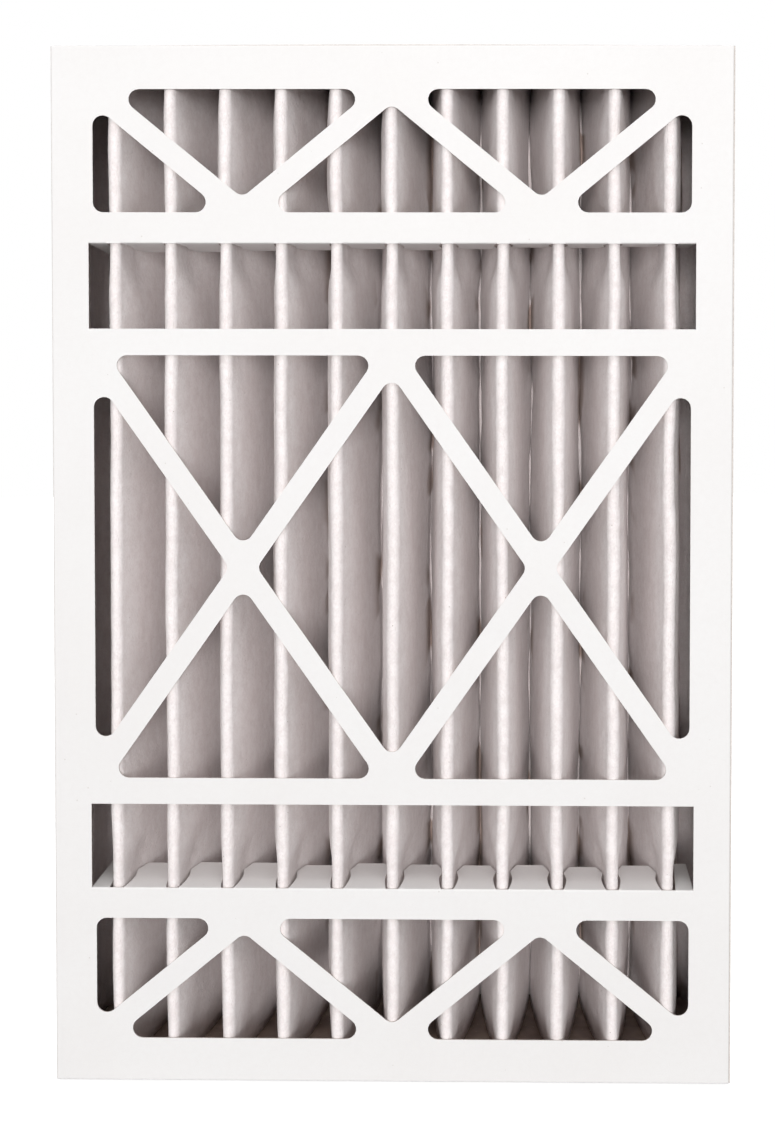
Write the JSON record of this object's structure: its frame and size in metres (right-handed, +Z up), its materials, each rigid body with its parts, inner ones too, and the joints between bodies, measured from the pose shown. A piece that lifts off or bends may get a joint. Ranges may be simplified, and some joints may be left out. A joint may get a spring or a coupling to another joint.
{
  "type": "pleated panel air filter",
  "caption": "Upright box filter: a vertically pleated nonwoven sheet held in a board case whose open faces are a lattice of rounded triangular and diamond windows.",
  "frame": {"origin": "middle of the bottom edge, on the surface it stands on", "axes": "+Z up along the pleats, +X across the width, and the front face looks along -Y"},
  "size_m": [0.4, 0.124, 0.612],
  "materials": {
    "coated_board": "matt white paperboard",
    "filter_media": "lofty white nonwoven",
    "adhesive": "off-white set adhesive"
  },
  "bodies": {
    "root": {"front_tray": "coated_board", "rear_tray": "coated_board", "pleated_media": "filter_media", "bottom_end_seal": "adhesive", "top_end_seal": "adhesive", "left_side_bond": "adhesive", "right_side_bond": "adhesive"}
  },
  "joints": []
}
